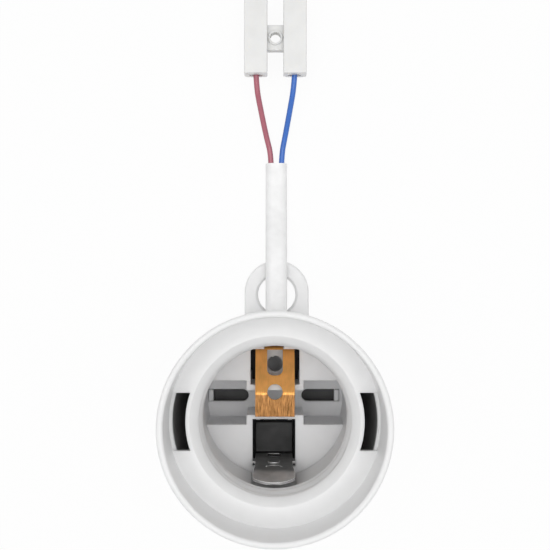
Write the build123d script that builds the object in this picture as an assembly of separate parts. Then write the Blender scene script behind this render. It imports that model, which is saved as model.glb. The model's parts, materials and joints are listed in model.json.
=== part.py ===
"""Pendant lamp holder with a screw thread for the lamp, two spring contacts, a hanging eye,
a short flat lead and a two-pole terminal block.

Millimetres. The origin is on the lamp's axis at the holder's flat back, +Z runs out of the
mouth and +Y towards the hanging eye and the lead.
"""

import os
from math import radians, tan

from build123d import *

# Clearances
FIT_GAP = 0.1
SEAT_GAP = 0.05

# Threaded sleeve, whose crests set the size of the lamp
THREAD_CREST_R = 12.3
THREAD_DEPTH = 0.95
THREAD_LENGTH = 7.4
MOUTH_DEPTH = 1.5
MOUTH_LAND = 0.65
SLEEVE_WALL = 1.55
SLEEVE_LENGTH = 24.5
RELIEF_R = THREAD_CREST_R + THREAD_DEPTH
SLEEVE_R = RELIEF_R + SLEEVE_WALL
MOUTH_R = SLEEVE_R - MOUTH_LAND

# Housing: a slightly tapered cup, split into a body and a rear cap
SIDE_SPACE = 2.8
SKIRT_WALL = 1.1
SKIRT_DEPTH = 10.2
TAPER = 2.0
WEB_THICK = 1.3
SHELL_WALL = 1.2
RIM_ROUND = 0.45
SEAM_Z = 12.0
SPIGOT_LENGTH = 2.4
SPIGOT_WALL = 0.9
SKIRT_INNER_R = SLEEVE_R + SIDE_SPACE
RIM_R = SKIRT_INNER_R + SKIRT_WALL
BACK_R = RIM_R - TAPER

# Windows in the web, one on each side
WEB_WINDOW_HEIGHT = 9.6
WEB_WINDOW_ROUND = 0.6

# Levels, from the back plate up to the rim
CAP_PLATE = 2.0
WIRE_SPACE = 3.7
WELL_FLOOR = 1.5
WELL_DEPTH = 13.1
WELL_UNDER_Z = CAP_PLATE + WIRE_SPACE
WELL_FLOOR_Z = WELL_UNDER_Z + WELL_FLOOR
FLOOR_Z = WELL_FLOOR_Z + WELL_DEPTH
WEB_Z = FLOOR_Z + SLEEVE_LENGTH
HEIGHT = WEB_Z + SKIRT_DEPTH

# Contact carrier and its I-shaped well
CARRIER_R = SLEEVE_R - FIT_GAP
CARRIER_THICK = 1.5
CARRIER_UNDER_Z = FLOOR_Z - CARRIER_THICK
WELL_Y = 0.4
WELL_END_HEIGHT = 8.2
WELL_MID_HEIGHT = 4.6
WELL_MID_HALF = 5.3
WELL_WALL = 0.75
WELL_WALL_Y = WELL_Y - WELL_MID_HEIGHT / 2 - WELL_WALL
SLOT_HEIGHT = 2.4
SLOT_INNER_X = 5.2
SLOT_END_WALL = 0.35
SLOT_SHIFT = -0.25
SLOT_OUTER_X = RELIEF_R - SLOT_END_WALL

# Centre contact: a strip along Y, bent over its tail
STRIP_WIDTH = 7.3
STRIP_THICK = 0.4
STRIP_TAB_WIDTH = 3.5
STRIP_TAB_X = -0.2
STRIP_TAIL_GAP = 2.7
STRIP_SHOULDER_IN = 0.3
STRIP_TAIL_DROP = 10.7
STRIP_ROOT_DROP = 2.45
STRIP_BEND_Y = 2.3
STRIP_BEND_RISE = 2.1
STRIP_TIP_Y = -1.97
STRIP_TIP_RISE = 1.8
STRIP_SLOT_WIDTH = 2.92
STRIP_SLOT_LENGTH = 4.6
STRIP_SLOT_IN = 2.75
STRIP_SLOT_ROUND = 1.1
STRIP_HOLE_R = 1.4
STRIP_HOLE_IN = 0.3
STRIP_FOLD_R = 0.6
STRIP_BEND_R = 1.2
STRIP_TAIL_Y = RELIEF_R - STRIP_TAIL_GAP
STRIP_TAIL_Z = FLOOR_Z - STRIP_TAIL_DROP
STRIP_SHOULDER_Y = STRIP_TAIL_Y - STRIP_SHOULDER_IN

# Window and seat of the centre contact
STRIP_WINDOW_SIDE = 0.9
STRIP_WINDOW_START_GAP = 0.3
STRIP_WINDOW_END_GAP = 0.1
TAB_WINDOW_GAP = 0.55
STRIP_WINDOW_START = WELL_Y + WELL_MID_HEIGHT / 2 + WELL_WALL + STRIP_WINDOW_START_GAP
STRIP_WINDOW_HALF = STRIP_WIDTH / 2 + STRIP_WINDOW_SIDE
STRIP_WINDOW_END = STRIP_SHOULDER_Y + STRIP_WINDOW_END_GAP
TAB_WINDOW_HALF = STRIP_TAB_WIDTH / 2 + FIT_GAP
TAB_WINDOW_END = STRIP_TAIL_Y + STRIP_THICK / 2 + TAB_WINDOW_GAP
SEAT_HOLE_IN = 3.33
SEAT_WIDTH = 5.6
SEAT_DROP = 5.5
SEAT_THICK = 1.2
SEAT_LAP = 0.6
SEAT_HOLE_R = 1.5

# Side contact: a leaf that rises beside the lamp's thread
LEAF_X = -0.2
LEAF_WIDTH = 6.9
LEAF_FLARE = 7.5
LEAF_EAR_WIDTH = 7.95
LEAF_THICK = 0.4
LEAF_TIP_GAP = 0.9
LEAF_BULGE_IN = 1.45
LEAF_NECK_IN = 2.25
LEAF_CREASE_IN = 2.28
LEAF_START_GAP = 1.25
LEAF_TAIL_DROP = 12.1
LEAF_FLAT_DROP = 6.5
LEAF_EAR_LOW = 0.35
LEAF_EAR_HIGH = 2.4
LEAF_FLARE_START = 6.2
LEAF_BULGE_RISE = 10.2
LEAF_TIP_RISE = 12.9
LEAF_END_SAG = 1.15
LEAF_END_ROUND = 0.8
LEAF_TAIL_WIDTH = 2.2
LEAF_SLOT_WIDTH = 2.6
LEAF_SLOT_HEIGHT = 3.35
LEAF_SLOT_RISE = 2.9
LEAF_SLOT_ROUND = 0.5
LEAF_FOLD_R = 0.4
LEAF_BEND_R = 0.7
LEAF_NECK_R = 12.0
LEAF_BULGE_R = 6.0
LEAF_TIP_Y = LEAF_TIP_GAP - RELIEF_R
LEAF_CREASE_Y = LEAF_TIP_Y + LEAF_CREASE_IN
LEAF_NECK_Y = LEAF_TIP_Y + LEAF_NECK_IN
LEAF_BULGE_Y = LEAF_TIP_Y + LEAF_BULGE_IN
LEAF_FLAT_START = WELL_WALL_Y - LEAF_START_GAP
LEAF_TAIL_Z = FLOOR_Z - LEAF_TAIL_DROP
LEAF_FLAT_Z = FLOOR_Z - LEAF_FLAT_DROP
LEAF_SLOT_Z = LEAF_FLAT_Z + LEAF_SLOT_RISE
LEAF_BULGE_Z = FLOOR_Z + LEAF_BULGE_RISE
LEAF_TIP_Z = FLOOR_Z + LEAF_TIP_RISE

# Window, shelves and recess of the side contact
LEAF_WINDOW_SIDE = 0.525
LEAF_WINDOW_END_GAP = 1.3
LEAF_SHELF_WIDTH = 0.8
LEAF_SHELF_THICK = 1.2
LEAF_SHELF_END_GAP = 1.6
LEAF_RECESS_WALL = 1.0
LEAF_RECESS_SIDE = 0.3
LEAF_RECESS_ABOVE = 2.2
LEAF_WINDOW_WIDTH = LEAF_WIDTH + 2 * LEAF_WINDOW_SIDE
LEAF_WINDOW_END = LEAF_NECK_Y - LEAF_WINDOW_END_GAP
LEAF_RECESS_R = SLEEVE_R - LEAF_RECESS_WALL
LEAF_RECESS_WIDTH = LEAF_FLARE + 2 * LEAF_RECESS_SIDE
LEAF_RECESS_TOP = LEAF_TIP_Z + LEAF_RECESS_ABOVE

# Hanging eye on the rear cap
EYE_X = 0.35
EYE_REACH = 3.8
EYE_R = 6.46
EYE_THICK = 2.5
EYE_ROUND = 0.4
EYE_HOLE_BACK = 0.4
EYE_HOLE_R = 3.78
EYE_HOLE_CHAMFER = 0.45
BACK_ROUND = 0.6
EYE_Y = BACK_R + EYE_REACH
EYE_HOLE_Y = EYE_Y - EYE_HOLE_BACK

# Tongues and rests inside the rear cap
TONGUE_THICK = 0.9
TONGUE_PROUD = 0.15
REST_INNER_X = 7.0
REST_LENGTH = 4.5
REST_THICK = 0.9
REST_INSET = 1.2
REST_SPREAD = WELL_END_HEIGHT / 2 - REST_INSET

# Flat lead: sheath, two cores and their bare strands
SHEATH_WIDTH = 4.3
SHEATH_HEIGHT = 2.7
SHEATH_X = 0.27
SHEATH_INSIDE = 4.2
SHEATH_END_Y = 46.5
CORE_R = 0.55
CORE_OFFSET = 1.0
STRAND_R = 0.4
LEAD_Z = 4.2
CORD_BEND_R = 12.0
RUN_SHARE = 0.45
SHEATH_INNER_Y = BACK_R - SHEATH_INSIDE
LIVE_X = SHEATH_X - CORE_OFFSET
NEUTRAL_X = SHEATH_X + CORE_OFFSET

# Cord clamp in the rear cap
CLAMP_BEHIND_END = 1.5
CLAMP_WIDTH = 1.8
CLAMP_THICK = 1.3
CLAMP_POST = 1.5
CLAMP_PEG_R = 0.45
CLAMP_ROUND = 0.45
CLAMP_Y = SHEATH_INNER_Y + CLAMP_BEHIND_END

# Crimp sleeves on the contacts' tails
CRIMP_WALL = 0.6
CRIMP_R = STRAND_R + CRIMP_WALL
CRIMP_LENGTH = 3.0
CRIMP_WAIST_R = 0.7
CRIMP_WAIST_CENTRE_R = 1.5
STRAND_GAP = 0.3
STRAND_PAST_CRIMP = 0.4
STRAND_PAST_SCREW = 2.4
STRAND_SHOWN = 0.2

# Terminal block, lying on its screw side
BLOCK_X = 0.08
BLOCK_Y = 70.85
BLOCK_LENGTH = 14.7
POLE_PITCH = 7.67
POLE_WIDTH = 4.53
POLE_BODY_Z = 4.4
POLE_ROUND = 1.5
POLE_EDGE = 0.2
POLE_ROOF = 3.5
BORE_ABOVE = 2.1
TUBE_BORE_R = 1.1
TUBE_WALL = 0.5
ENTRY_R = 1.3
ENTRY_LENGTH = 1.1
TOWER_WALL = 0.7
SCREW_PITCH = 7.4
SCREW_R = 1.05
SCREW_HEAD_R = 1.35
SCREW_HEAD_GAP = 0.15
SCREW_HEAD_THICK = 1.2
SCREW_SLOT_WIDTH = 0.5
SCREW_SLOT_DEPTH = 0.6
SCREW_LENGTH = 2.95
SCREW_CHAMFER = 0.25
SCREW_OPEN = 0.7
BRIDGE_LENGTH = 4.93
BRIDGE_ABOVE = 0.7
BRIDGE_THICK = 2.5
FIXING_R = 1.05
COLLAR_WALL = 0.4
COLLAR_PROUD = 0.35
BORE_Z = POLE_BODY_Z + BORE_ABOVE
BLOCK_HEIGHT = BORE_Z + POLE_ROOF
BRIDGE_TOP = BORE_Z + BRIDGE_ABOVE
TUBE_R = TUBE_BORE_R + TUBE_WALL
TUBE_LENGTH = BLOCK_LENGTH - 2 * ENTRY_LENGTH
TOWER_BORE_R = SCREW_HEAD_R + SCREW_HEAD_GAP
TOWER_R = TOWER_BORE_R + TOWER_WALL
CLAMPED_TIP_Z = BORE_Z - STRAND_R - SEAT_GAP
OPEN_TIP_Z = CLAMPED_TIP_Z - SCREW_OPEN
POLES = {"live": BLOCK_X - POLE_PITCH / 2, "neutral": BLOCK_X + POLE_PITCH / 2}
SCREW_YS = {"lead": BLOCK_Y - SCREW_PITCH / 2, "supply": BLOCK_Y + SCREW_PITCH / 2}
TUBE_START = BLOCK_Y - TUBE_LENGTH / 2
ENTRY_Y = BLOCK_Y - BLOCK_LENGTH / 2


def outer_r(z):
    """Radius of the housing's tapered outside at a height."""
    return BACK_R + (RIM_R - BACK_R) * z / HEIGHT


def turned(*points):
    """A solid of revolution about the lamp's axis from (radius, height) points."""
    return revolve(Plane.XZ * make_face(Polyline(*points, close=True)), Axis.Z)


def block(x0, x1, y0, y1, z0, z1):
    """A plain block between two corners."""
    return Pos(x0, y0, z0) * Box(x1 - x0, y1 - y0, z1 - z0, align=(Align.MIN,) * 3)


def rod(radius, x, y, z0, z1):
    """An upright cylinder."""
    return Pos(x, y, z0) * Cylinder(radius, z1 - z0, align=(Align.CENTER, Align.CENTER, Align.MIN))


def rod_along_y(radius, x, z, y0, y1):
    """A cylinder that lies along Y."""
    return Pos(x, y0, z) * Rot(-90, 0, 0) * Cylinder(
        radius, y1 - y0, align=(Align.CENTER, Align.CENTER, Align.MIN)
    )


def bent_strip(points, bends, thickness, width, x):
    """Sheet metal that follows (y, z) points, with a bend radius at each inner point."""
    profile = Plane.YZ * trace(FilletPolyline(*points, radius=bends), line_width=thickness)
    return Pos(x, 0, 0) * extrude(profile, amount=width / 2, dir=(1, 0, 0), both=True)


def fit_radii(points):
    """As large a radius at each corner as its two runs allow, up to the cord's own bend."""
    radii = []
    for before, at, after in zip(points, points[1:], points[2:]):
        a, b = Vector(*at) - Vector(*before), Vector(*after) - Vector(*at)
        largest = RUN_SHARE * min(a.length, b.length) / tan(radians(a.get_angle(b) / 2))
        radii.append(min(largest, CORD_BEND_R))
    return radii


def cord_path(name, points):
    """Straight runs joined by tangent arcs. Prints the arcs' radii."""
    radii = fit_radii(points)
    print(name, "arc radii", [round(r, 1) for r in radii])
    return FilletPolyline(*points, radius=radii)


def swept_round(name, points, radius):
    """A round cord along its route, with its volume compared to section times length."""
    path = cord_path(name, points)
    solid = sweep(Plane(path @ 0, z_dir=path % 0) * Circle(radius), path)
    straight = Circle(radius).area * path.length
    print(name, "length", round(path.length, 2), "volume share", round(solid.volume / straight, 4))
    return solid


def socket_body():
    """Skirt, web and threaded sleeve in one moulding."""
    web_under = WEB_Z - WEB_THICK
    cap_inner = outer_r(SEAM_Z) - SHELL_WALL
    spigot_r = cap_inner - FIT_GAP
    inner_seam_r = spigot_r - SPIGOT_WALL
    shell = turned(
        (inner_seam_r, SEAM_Z - SPIGOT_LENGTH),
        (spigot_r, SEAM_Z - SPIGOT_LENGTH),
        (spigot_r, SEAM_Z),
        (outer_r(SEAM_Z), SEAM_Z),
        (RIM_R, HEIGHT),
        (SKIRT_INNER_R, HEIGHT),
        (SKIRT_INNER_R, WEB_Z),
        (MOUTH_R, WEB_Z),
        (THREAD_CREST_R, WEB_Z - MOUTH_DEPTH),
        (THREAD_CREST_R, WEB_Z - THREAD_LENGTH),
        (RELIEF_R, WEB_Z - THREAD_LENGTH - (RELIEF_R - THREAD_CREST_R)),
        (RELIEF_R, FLOOR_Z),
        (SLEEVE_R, FLOOR_Z),
        (SLEEVE_R, web_under),
        (outer_r(web_under) - SHELL_WALL, web_under),
        (inner_seam_r, SEAM_Z + SPIGOT_LENGTH),
    )
    shell = fillet(shell.edges().filter_by(GeomType.CIRCLE).group_by(Axis.Z)[-1], RIM_ROUND)
    leaf_recess = block(
        LEAF_X - LEAF_RECESS_WIDTH / 2, LEAF_X + LEAF_RECESS_WIDTH / 2,
        -RIM_R, 0, FLOOR_Z, LEAF_RECESS_TOP,
    )
    shell -= leaf_recess & rod(LEAF_RECESS_R, 0, 0, FLOOR_Z, LEAF_RECESS_TOP)
    window = extrude(
        Plane.XY.offset(web_under) * RectangleRounded(2 * RIM_R, WEB_WINDOW_HEIGHT, WEB_WINDOW_ROUND),
        amount=WEB_THICK,
    )
    ring = rod(SKIRT_INNER_R, 0, 0, web_under, WEB_Z) - rod(SLEEVE_R, 0, 0, web_under, WEB_Z)
    return shell - (window & ring)


def well_outline(grow):
    """The I-shaped outline of the carrier's well, grown by a wall."""
    ends = Pos(0, WELL_Y) * Rectangle(2 * CARRIER_R, WELL_END_HEIGHT + 2 * grow)
    ends -= Pos(0, WELL_Y) * Rectangle(2 * (WELL_MID_HALF - grow), 2 * CARRIER_R)
    middle = Pos(0, WELL_Y) * Rectangle(2 * WELL_MID_HALF, WELL_MID_HEIGHT + 2 * grow)
    return (ends + middle) & Circle(RELIEF_R + grow)


def contact_carrier():
    """Disc at the bottom of the sleeve with the contacts' windows and the deep I-shaped well."""
    carrier = rod(CARRIER_R, 0, 0, CARRIER_UNDER_Z, FLOOR_Z)
    carrier += extrude(Plane.XY.offset(WELL_UNDER_Z) * well_outline(WELL_WALL), amount=FLOOR_Z - WELL_UNDER_Z)
    carrier -= extrude(Plane.XY.offset(WELL_FLOOR_Z) * well_outline(0), amount=WELL_DEPTH)
    carrier -= block(
        -STRIP_WINDOW_HALF, STRIP_WINDOW_HALF,
        STRIP_WINDOW_START, STRIP_WINDOW_END, CARRIER_UNDER_Z, FLOOR_Z,
    )
    carrier -= block(
        STRIP_TAB_X - TAB_WINDOW_HALF, STRIP_TAB_X + TAB_WINDOW_HALF,
        STRIP_WINDOW_END, TAB_WINDOW_END, CARRIER_UNDER_Z, FLOOR_Z,
    )
    carrier -= block(
        LEAF_X - LEAF_WINDOW_WIDTH / 2, LEAF_X + LEAF_WINDOW_WIDTH / 2,
        LEAF_WINDOW_END, WELL_WALL_Y, CARRIER_UNDER_Z, FLOOR_Z,
    )
    for side in (-1, 1):
        inner, outer = side * SLOT_INNER_X, side * SLOT_OUTER_X + SLOT_SHIFT
        slot = Pos((inner + outer) / 2, WELL_Y) * Rectangle(abs(outer - inner), SLOT_HEIGHT)
        inner_end = slot.vertices().sort_by(Axis.X)[2:] if side < 0 else slot.vertices().sort_by(Axis.X)[:2]
        slot = fillet(inner_end, SLOT_HEIGHT / 2 - SEAT_GAP)
        carrier -= extrude(Plane.XY.offset(WELL_UNDER_Z) * slot, amount=WELL_FLOOR)
    carrier += strip_seat()
    carrier += leaf_shelves()
    return carrier


def strip_seat():
    """Ledge behind the centre contact's window, with the round hole that shows through it."""
    top = FLOOR_Z - SEAT_DROP
    start = STRIP_WINDOW_START - SEAT_LAP
    end = STRIP_TAIL_Y - STRIP_THICK / 2 - SEAT_GAP
    seat = block(-SEAT_WIDTH / 2, SEAT_WIDTH / 2, start, end, top - SEAT_THICK, top)
    return seat - rod(SEAT_HOLE_R, 0, STRIP_TAIL_Y - SEAT_HOLE_IN, top - SEAT_THICK, top)


def leaf_shelves():
    """Two ribs on the well's wall that carry the side contact's flat."""
    top = LEAF_FLAT_Z - LEAF_THICK / 2
    beam_top = LEAF_FLAT_Z - LEAF_FOLD_R - LEAF_THICK / 2
    wall = WELL_WALL_Y + WELL_WALL / 2
    end = LEAF_CREASE_Y + LEAF_SHELF_END_GAP
    fold = LEAF_FLAT_START - LEAF_FOLD_R - LEAF_THICK
    shelves = Part()
    for side in (-1, 1):
        x = LEAF_X + side * (LEAF_WIDTH - LEAF_SHELF_WIDTH) / 2
        x0, x1 = x - LEAF_SHELF_WIDTH / 2, x + LEAF_SHELF_WIDTH / 2
        shelves += block(x0, x1, end, wall, beam_top - LEAF_SHELF_THICK, beam_top)
        shelves += block(x0, x1, end, fold, beam_top, top)
    return shelves


def centre_contact():
    """Copper alloy strip: tail, fold, sloping arm and contact face."""
    points = [
        (STRIP_TAIL_Y, STRIP_TAIL_Z),
        (STRIP_TAIL_Y, FLOOR_Z - STRIP_ROOT_DROP),
        (STRIP_BEND_Y, FLOOR_Z + STRIP_BEND_RISE),
        (STRIP_TIP_Y, FLOOR_Z + STRIP_TIP_RISE),
    ]
    strip = bent_strip(points, [STRIP_FOLD_R, STRIP_BEND_R], STRIP_THICK, STRIP_WIDTH, 0)
    for side in (-1, 1):
        edge = STRIP_TAB_X + side * STRIP_TAB_WIDTH / 2
        outside = side * STRIP_WIDTH
        strip -= block(
            min(edge, outside), max(edge, outside), STRIP_SHOULDER_Y, SLEEVE_R, 0, HEIGHT
        )
    window = Pos(0, STRIP_TAIL_Y - STRIP_SLOT_IN) * Rectangle(STRIP_SLOT_WIDTH, STRIP_SLOT_LENGTH)
    window = fillet(window.vertices().sort_by(Axis.Y)[:2], STRIP_SLOT_ROUND)
    strip -= extrude(Plane.XY.offset(STRIP_TAIL_Z) * window, amount=HEIGHT)
    strip -= rod(STRIP_HOLE_R, 0, STRIP_BEND_Y + STRIP_HOLE_IN, FLOOR_Z, HEIGHT)
    return strip


def side_contact():
    """Leaf: tail, flat, crease, and the arm with ears and a flared, rounded end."""
    points = [
        (LEAF_FLAT_START, LEAF_TAIL_Z),
        (LEAF_FLAT_START, LEAF_FLAT_Z),
        (LEAF_CREASE_Y, LEAF_FLAT_Z),
        (LEAF_NECK_Y, FLOOR_Z),
        (LEAF_BULGE_Y, LEAF_BULGE_Z),
        (LEAF_TIP_Y, LEAF_TIP_Z),
    ]
    bends = [LEAF_FOLD_R, LEAF_BEND_R, LEAF_NECK_R, LEAF_BULGE_R]
    strip = bent_strip(points, bends, LEAF_THICK, LEAF_EAR_WIDTH, LEAF_X)
    return strip & leaf_outline()


def leaf_outline():
    """Front view of the side contact, as an XZ outline extruded through the whole leaf."""
    half, ear, flare = LEAF_WIDTH / 2, LEAF_EAR_WIDTH / 2, LEAF_FLARE / 2
    ear_low, ear_high = FLOOR_Z + LEAF_EAR_LOW, FLOOR_Z + LEAF_EAR_HIGH
    right = [
        (half, LEAF_TAIL_Z), (half, ear_low), (ear, ear_low), (ear, ear_high), (half, ear_high),
        (half, FLOOR_Z + LEAF_FLARE_START), (flare, LEAF_BULGE_Z), (flare, LEAF_TIP_Z - LEAF_END_SAG),
    ]
    left = [(-x, z) for x, z in reversed(right)]
    end = ThreePointArc(right[-1], (0, LEAF_TIP_Z), left[0])
    face = make_face(Curve() + [Polyline(*right), end, Polyline(*left, right[0])])
    face = fillet(face.vertices().sort_by(Axis.Y)[-2:], LEAF_END_ROUND)
    face -= Pos(0, LEAF_SLOT_Z) * RectangleRounded(LEAF_SLOT_WIDTH, LEAF_SLOT_HEIGHT, LEAF_SLOT_ROUND)
    outline = Pos(LEAF_X, 0, 0) * extrude(Plane.XZ * face, amount=HEIGHT, both=True)
    fold_y = LEAF_FLAT_START - LEAF_FOLD_R
    tail = block(
        NEUTRAL_X - LEAF_TAIL_WIDTH / 2, NEUTRAL_X + LEAF_TAIL_WIDTH / 2, fold_y, 0, 0, LEAF_FLAT_Z,
    )
    low = block(-RIM_R, RIM_R, fold_y, 0, 0, LEAF_FLAT_Z - LEAF_FOLD_R)
    return outline - low + tail


def rear_cap():
    """Back plate and wall with the hanging eye, the lead's outlet and two locating tongues."""
    inner = outer_r(SEAM_Z) - SHELL_WALL
    cap = turned(
        (0, 0), (BACK_R, 0), (outer_r(SEAM_Z), SEAM_Z), (inner, SEAM_Z),
        (inner, SEAM_Z - SPIGOT_LENGTH - FIT_GAP), (BACK_R - SHELL_WALL, CAP_PLATE), (0, CAP_PLATE),
    )
    cap = fillet(cap.edges().filter_by(GeomType.CIRCLE).group_by(Axis.Z)[0], BACK_ROUND)
    neck = Pos(EYE_X, EYE_Y / 2) * Rectangle(2 * EYE_R, EYE_Y)
    eye = extrude(Pos(EYE_X, EYE_Y) * Circle(EYE_R) + neck, amount=EYE_THICK)
    eye = fillet(eye.edges().group_by(Axis.Z)[-1] + eye.edges().group_by(Axis.Z)[0], EYE_ROUND)
    cap += eye - rod(BACK_R - SHELL_WALL, 0, 0, 0, HEIGHT)
    hole = rod(EYE_HOLE_R, EYE_X, EYE_HOLE_Y, 0, EYE_THICK)
    for level, big, small in ((0, EYE_HOLE_CHAMFER, 0), (EYE_THICK - EYE_HOLE_CHAMFER, 0, EYE_HOLE_CHAMFER)):
        hole += Pos(EYE_X, EYE_HOLE_Y, level) * Cone(
            EYE_HOLE_R + big, EYE_HOLE_R + small, EYE_HOLE_CHAMFER,
            align=(Align.CENTER, Align.CENTER, Align.MIN),
        )
    cap -= hole
    outlet = Pos(SHEATH_X, LEAD_Z) * SlotOverall(SHEATH_WIDTH + 2 * FIT_GAP, SHEATH_HEIGHT + 2 * FIT_GAP)
    cap -= extrude(Plane.XZ.offset(-SHEATH_INNER_Y) * outlet, amount=-RIM_R)
    half = SLOT_HEIGHT / 2 - FIT_GAP
    for side in (-1, 1):
        x = side * (SLOT_OUTER_X - FIT_GAP - TONGUE_THICK / 2) + SLOT_SHIFT
        cap += block(
            x - TONGUE_THICK / 2, x + TONGUE_THICK / 2,
            WELL_Y - half, WELL_Y + half, CAP_PLATE, WELL_FLOOR_Z + TONGUE_PROUD,
        )
        cap += clamp_post(side)
        cap += carrier_rests(side)
    return cap


def carrier_rests(side):
    """Two ribs on the back plate under one end of the carrier's well."""
    inner, outer = REST_INNER_X, REST_INNER_X + REST_LENGTH
    ribs = Part()
    for y in (WELL_Y - REST_SPREAD, WELL_Y + REST_SPREAD):
        ribs += block(
            min(side * inner, side * outer), max(side * inner, side * outer),
            y - REST_THICK / 2, y + REST_THICK / 2, CAP_PLATE, WELL_UNDER_Z,
        )
    return ribs


def clamp_post(side):
    """Post beside the sheath with a peg that holds the cord clamp."""
    x = SHEATH_X + side * (SHEATH_WIDTH / 2 + FIT_GAP + CLAMP_POST / 2)
    top = LEAD_Z + SHEATH_HEIGHT / 2
    post = block(
        x - CLAMP_POST / 2, x + CLAMP_POST / 2,
        CLAMP_Y - CLAMP_WIDTH / 2, CLAMP_Y + CLAMP_WIDTH / 2, CAP_PLATE, top,
    )
    return post + rod(CLAMP_PEG_R, x, CLAMP_Y, top, top + CLAMP_THICK)


def cord_clamp():
    """Bar across the sheath, pressed on the two posts' pegs."""
    low = LEAD_Z + SHEATH_HEIGHT / 2
    reach = SHEATH_WIDTH / 2 + FIT_GAP + CLAMP_POST
    bar = block(
        SHEATH_X - reach, SHEATH_X + reach,
        CLAMP_Y - CLAMP_WIDTH / 2, CLAMP_Y + CLAMP_WIDTH / 2, low, low + CLAMP_THICK,
    )
    bar = fillet(bar.edges().filter_by(Axis.Y).group_by(Axis.Z)[-1], CLAMP_ROUND)
    for side in (-1, 1):
        x = SHEATH_X + side * (SHEATH_WIDTH / 2 + FIT_GAP + CLAMP_POST / 2)
        bar -= rod(CLAMP_PEG_R, x, CLAMP_Y, low, low + CLAMP_THICK)
    return bar


# The lead's route as (y, z): out of the cap, over the eye and down to the surface
LEAD_RUN = [(20.5, 4.2), (28.5, 4.6), (38.0, 1.75)]
SHEATH_START = (SHEATH_INNER_Y, LEAD_Z)
SHEATH_END = (SHEATH_END_Y, SHEATH_HEIGHT / 2)


def cable_sheath():
    """Flat sheath with a bore for each core."""
    route = [(SHEATH_X, y, z) for y, z in [SHEATH_START, *LEAD_RUN, SHEATH_END]]
    path = cord_path("sheath", route)
    section = SlotOverall(SHEATH_WIDTH, SHEATH_HEIGHT)
    section -= Pos(CORE_OFFSET, 0) * Circle(CORE_R) + Pos(-CORE_OFFSET, 0) * Circle(CORE_R)
    solid = sweep(Plane(path @ 0, x_dir=(1, 0, 0), z_dir=path % 0) * section, path)
    share = solid.volume / (section.area * path.length)
    print("sheath length", round(path.length, 2), "volume share", round(share, 4))
    return solid


def core_route(x, inner, fan):
    """A core's points: (y, z) pairs inside the holder and lead, then (x, y, z) points to the block."""
    through = [*inner, *LEAD_RUN]
    return [(x, y, z) for y, z in through] + fan


LIVE_CRIMP_Y = STRIP_TAIL_Y - STRIP_THICK / 2 - CRIMP_R
LIVE_CRIMP_Z = STRIP_TAIL_Z
NEUTRAL_CRIMP_Y = LEAF_FLAT_START - LEAF_THICK / 2 - CRIMP_R
NEUTRAL_CRIMP_Z = LEAF_TAIL_Z
LIVE_INNER = [(LIVE_CRIMP_Y, LIVE_CRIMP_Z - STRAND_GAP), (9.1, 7.6), (8.8, 5.7), (10.2, LEAD_Z)]
NEUTRAL_INNER = [
    (NEUTRAL_CRIMP_Y, NEUTRAL_CRIMP_Z - STRAND_GAP), (-5.2, 5.8), (-3.9, 4.1), (0.5, 3.6), (5.5, 3.7),
    (10.2, LEAD_Z),
]
INSULATION_END_Y = TUBE_START - STRAND_SHOWN
LIVE_FAN = [
    (LIVE_X, 48.1, 1.2747), (-1.75, 52.0, 2.0), (-2.75, 57.0, 4.1), (-3.6, 61.4, 6.2),
    (POLES["live"], INSULATION_END_Y, BORE_Z),
]
NEUTRAL_FAN = [
    (NEUTRAL_X, 48.1, 1.2747), (2.05, 52.0, 2.1), (2.95, 56.8, 4.3), (3.75, 61.2, 6.3),
    (POLES["neutral"], INSULATION_END_Y, BORE_Z),
]


def insulation(name):
    """One core's insulation from its contact to the terminal block."""
    if name == "live":
        return swept_round("live core", core_route(LIVE_X, LIVE_INNER, LIVE_FAN), CORE_R)
    return swept_round("neutral core", core_route(NEUTRAL_X, NEUTRAL_INNER, NEUTRAL_FAN), CORE_R)


def contact_strands(x, y, z):
    """Bare end of a core in its crimp."""
    return rod(STRAND_R, x, y, z, z + CRIMP_LENGTH + STRAND_PAST_CRIMP)


def crimp(x, y, z):
    """Crimp sleeve, slightly waisted where it is pressed."""
    sleeve = rod(CRIMP_R, x, y, z, z + CRIMP_LENGTH)
    waist = Pos(x, y, z + CRIMP_LENGTH / 2) * Torus(CRIMP_WAIST_CENTRE_R, CRIMP_WAIST_R)
    return sleeve - waist - rod(STRAND_R, x, y, z, z + CRIMP_LENGTH)


def terminal_strands(pole_x):
    """Bare end of a core in the block's clamp tube."""
    start, end = INSULATION_END_Y + FIT_GAP, SCREW_YS["lead"] + STRAND_PAST_SCREW
    return rod_along_y(STRAND_R, pole_x, BORE_Z, start, end)


def clamp_tube(pole_x):
    """Brass insert with two tapped holes."""
    tube = rod_along_y(TUBE_R, pole_x, BORE_Z, TUBE_START, TUBE_START + TUBE_LENGTH)
    tube -= rod_along_y(TUBE_BORE_R, pole_x, BORE_Z, TUBE_START, TUBE_START + TUBE_LENGTH)
    for y in SCREW_YS.values():
        tube -= rod(SCREW_R + SEAT_GAP, pole_x, y, BORE_Z - TUBE_R, BORE_Z)
    return tube


def terminal_screw(pole_x, y, tip_z):
    """Slotted screw, head down."""
    head_z = tip_z - SCREW_LENGTH - SCREW_HEAD_THICK
    screw = rod(SCREW_R, pole_x, y, tip_z - SCREW_LENGTH, tip_z)
    screw = chamfer(screw.edges().group_by(Axis.Z)[-1], SCREW_CHAMFER)
    screw += rod(SCREW_HEAD_R, pole_x, y, head_z, tip_z - SCREW_LENGTH)
    return screw - block(
        pole_x - SCREW_HEAD_R, pole_x + SCREW_HEAD_R,
        y - SCREW_SLOT_WIDTH / 2, y + SCREW_SLOT_WIDTH / 2, head_z, head_z + SCREW_SLOT_DEPTH,
    )


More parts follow.
